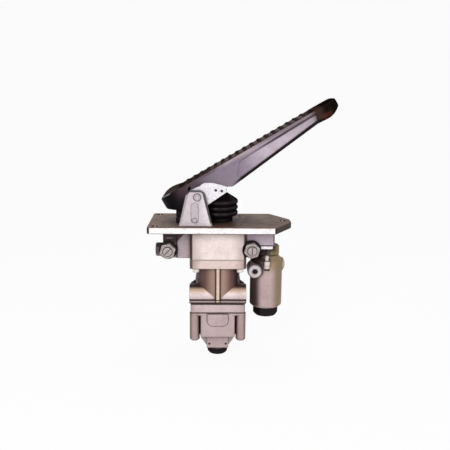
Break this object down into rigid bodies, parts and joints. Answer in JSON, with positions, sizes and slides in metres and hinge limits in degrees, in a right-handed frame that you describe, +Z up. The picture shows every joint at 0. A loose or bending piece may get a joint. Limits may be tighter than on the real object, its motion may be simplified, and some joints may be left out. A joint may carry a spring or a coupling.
{
  "type": "foot brake valve",
  "caption": "Floor-mounted air brake foot valve with a ribbed treadle pedal, rubber boot, stacked cast housings and a side valve.",
  "frame": {"origin": "the valve's upright axis at the underside of the mounting plate", "axes": "+Z up along the valve's axis, +X towards the pedal's toe, -Y towards the side with the two set screws"},
  "size_m": [0.2538, 0.108, 0.3637],
  "materials": {
    "plate_steel": "matt brown-grey phosphated steel",
    "ear_steel": "pale zinc-plated steel",
    "fastener_steel": "bright zinc-plated steel",
    "dark_steel": "dark phosphated steel",
    "cast_alloy": "satin sand-cast alloy with a pinkish grey tone",
    "pedal_alloy": "satin pressure-cast alloy, cool grey",
    "bracket_alloy": "bright bead-blasted cast alloy",
    "flange_alloy": "bright machined alloy",
    "collar_brass": "olive-gold passivated collar",
    "bush_bronze": "sintered bronze",
    "black_rubber": "satin black rubber",
    "tread_rubber": "brown-black ribbed rubber",
    "gasket_paper": "dark gasket sheet",
    "black_plastic": "black moulded cap",
    "piston_alloy": "turned alloy",
    "spring_steel": "spring wire"
  },
  "bodies": {
    "valve": {"mounting_plate": "plate_steel", "plate_screws": "fastener_steel", "front_ear": "ear_steel", "rear_ear": "ear_steel", "pivot_pin": "fastener_steel", "pin_clip": "dark_steel", "rest_buffer": "black_rubber", "plunger_guide": "fastener_steel", "boot": "black_rubber", "graduating_spring": "black_rubber", "upper_housing": "cast_alloy", "seal_washers": "black_rubber", "lock_nuts": "fastener_steel", "set_screws": "fastener_steel", "port_plug": "dark_steel", "upper_gasket": "gasket_paper", "middle_housing": "cast_alloy", "flange_screws": "dark_steel", "primary_return_spring": "spring_steel", "upper_valve_spring": "spring_steel", "upper_valve_guide": "piston_alloy", "middle_gasket": "gasket_paper", "intermediate_plate": "cast_alloy", "relay_return_spring": "spring_steel", "lower_gasket": "gasket_paper", "lower_housing": "cast_alloy", "lower_valve_spring": "spring_steel", "lower_valve_guide": "piston_alloy", "body_bolts": "dark_steel", "rear_nuts": "dark_steel", "exhaust_silencer": "black_rubber", "side_gasket": "gasket_paper", "side_flange": "flange_alloy", "side_collar": "collar_brass", "side_valve_body": "cast_alloy", "side_dome_plug": "fastener_steel", "socket_plug": "fastener_steel", "side_bolts": "fastener_steel", "side_cap": "black_plastic"},
    "pedal": {"pedal_body": "pedal_alloy", "pedal_pad": "tread_rubber", "lever_bracket": "bracket_alloy", "bracket_screws": "fastener_steel", "pivot_bushes": "bush_bronze"},
    "plunger": {"plunger": "fastener_steel"},
    "primary_piston": {"primary_piston": "piston_alloy", "primary_seal": "black_rubber"},
    "upper_valve": {"upper_inlet_valve": "piston_alloy"},
    "relay_piston": {"relay_piston": "piston_alloy", "relay_seal": "black_rubber"},
    "lower_valve": {"lower_inlet_valve": "piston_alloy"}
  },
  "joints": [
    {"name": "pedal_hinge", "type": "hinge", "parent": "valve", "child": "pedal", "pos_m": [-0.0283, 0, 0.0481], "axis": [0, 1, 0], "range_deg": [0, 16], "stiffness_Nm_per_rad": 8, "springref_deg": -14.32},
    {"name": "plunger_slide", "type": "slide", "parent": "valve", "child": "plunger", "axis": [0, 0, -1], "range_m": [0, 0.0082], "deforming": ["boot", "graduating_spring"]},
    {"name": "primary_piston_slide", "type": "slide", "parent": "valve", "child": "primary_piston", "axis": [0, 0, -1], "range_m": [0, 0.0031], "deforming": ["primary_return_spring"]},
    {"name": "upper_valve_slide", "type": "slide", "parent": "valve", "child": "upper_valve", "axis": [0, 0, -1], "range_m": [0, 0.0016], "deforming": ["upper_valve_spring"]},
    {"name": "relay_piston_slide", "type": "slide", "parent": "valve", "child": "relay_piston", "axis": [0, 0, -1], "range_m": [0, 0.0027], "deforming": ["relay_return_spring"]},
    {"name": "lower_valve_slide", "type": "slide", "parent": "valve", "child": "lower_valve", "axis": [0, 0, -1], "range_m": [0, 0.0014], "deforming": ["lower_valve_spring"]}
  ],
  "couplings": [
    {"joint": "plunger_slide", "follows": "pedal_hinge", "m_per_rad": 0.029006},
    {"joint": "primary_piston_slide", "follows": "pedal_hinge", "m_per_rad": 0.010743},
    {"joint": "upper_valve_slide", "follows": "pedal_hinge", "m_per_rad": 0.005371},
    {"joint": "relay_piston_slide", "follows": "pedal_hinge", "m_per_rad": 0.009311},
    {"joint": "lower_valve_slide", "follows": "pedal_hinge", "m_per_rad": 0.004655}
  ]
}
